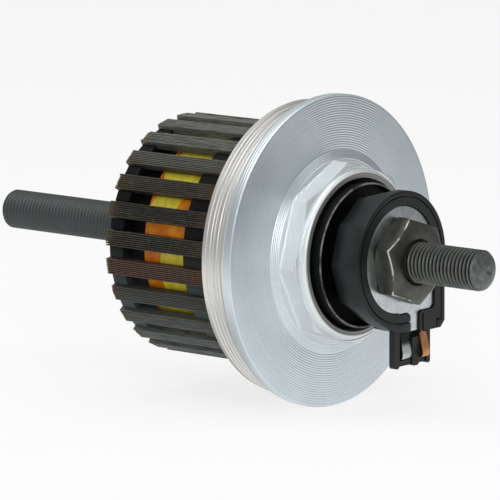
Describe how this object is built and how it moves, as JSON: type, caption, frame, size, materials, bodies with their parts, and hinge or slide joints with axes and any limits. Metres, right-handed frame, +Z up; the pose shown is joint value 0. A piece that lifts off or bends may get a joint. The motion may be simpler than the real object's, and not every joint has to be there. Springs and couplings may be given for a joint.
{
  "type": "hub dynamo inner unit",
  "caption": "Bicycle hub dynamo insert: threaded axle, claw-pole stator, bearing end cap with a spanner octagon, and a two-pole lamp connector.",
  "frame": {"origin": "on the axle's centre line, in the plane where the end cap's flange seats on the hub", "axes": "+Y along the axle from the connector end to the stator end, +Z up, the connector's terminals hang towards -Z and its straight side faces +X"},
  "size_m": [0.0686, 0.14, 0.0686],
  "materials": {
    "black_steel": "thread-rolled steel with a dark oxide finish",
    "bronzed_steel": "machined steel with a warm grey oxide finish",
    "bright_steel": "bright plated steel, slightly mottled",
    "hard_steel": "ground and hardened bearing steel",
    "sheet_steel": "stacked electrical sheet, dark varnish with rust specks",
    "cap_aluminium": "turned aluminium, clear anodised, with fine lathe lines",
    "black_plastic": "moulded, satin black",
    "black_rubber": "moulded, matte black",
    "yellow_tape": "yellow and orange polyester film tape",
    "copper": "enamelled copper wire and copper strip",
    "cage_brass": "stamped brass",
    "red_lead": "insulated wire",
    "black_lead": "insulated wire"
  },
  "bodies": {
    "axle_and_stator": {"axle": "black_steel", "lock_nut": "bronzed_steel", "ground_plate": "bright_steel", "terminal_block": "black_plastic", "connector_sleeve": "black_plastic", "ground_contact": "bright_steel", "live_contact": "copper", "thrust_washer": "bright_steel", "spacer": "black_steel", "bearing_cone": "hard_steel", "dust_cover": "black_plastic", "core_tube": "bright_steel", "bobbin": "black_plastic", "coil": "copper", "coil_tape": "yellow_tape", "clamp_washer_right": "bright_steel", "clamp_nut_right": "black_steel", "clamp_washer_left": "bright_steel", "clamp_nut_left": "black_steel", "ground_tag": "bright_steel", "live_lead": "red_lead", "ground_lead": "black_lead", "left_claw_01": "sheet_steel", "left_claw_02": "sheet_steel", "left_claw_03": "sheet_steel", "left_claw_04": "sheet_steel", "left_claw_05": "sheet_steel", "left_claw_06": "sheet_steel", "left_claw_07": "sheet_steel", "left_claw_08": "sheet_steel", "left_claw_09": "sheet_steel", "left_claw_10": "sheet_steel", "left_claw_11": "sheet_steel", "left_claw_12": "sheet_steel", "left_claw_13": "sheet_steel", "right_claw_01": "sheet_steel", "right_claw_02": "sheet_steel", "right_claw_03": "sheet_steel", "right_claw_04": "sheet_steel", "right_claw_05": "sheet_steel", "right_claw_06": "sheet_steel", "right_claw_07": "sheet_steel", "right_claw_08": "sheet_steel", "right_claw_09": "sheet_steel", "right_claw_10": "sheet_steel", "right_claw_11": "sheet_steel", "right_claw_12": "sheet_steel", "right_claw_13": "sheet_steel"},
    "cap": {"end_cap": "cap_aluminium", "bearing_cup": "hard_steel", "seal_ring": "black_rubber"},
    "cage": {"bearing_balls": "hard_steel", "ball_retainer": "cage_brass"}
  },
  "joints": [
    {"name": "cap_spin", "type": "hinge", "parent": "axle_and_stator", "child": "cap", "pos_m": [0, 0, 0], "axis": [0, 1, 0], "continuous": true},
    {"name": "cage_spin", "type": "hinge", "parent": "axle_and_stator", "child": "cage", "pos_m": [0, -0.002, 0], "axis": [0, 1, 0], "continuous": true}
  ],
  "couplings": [
    {"joint": "cage_spin", "follows": "cap_spin", "ratio": 0.5825}
  ]
}
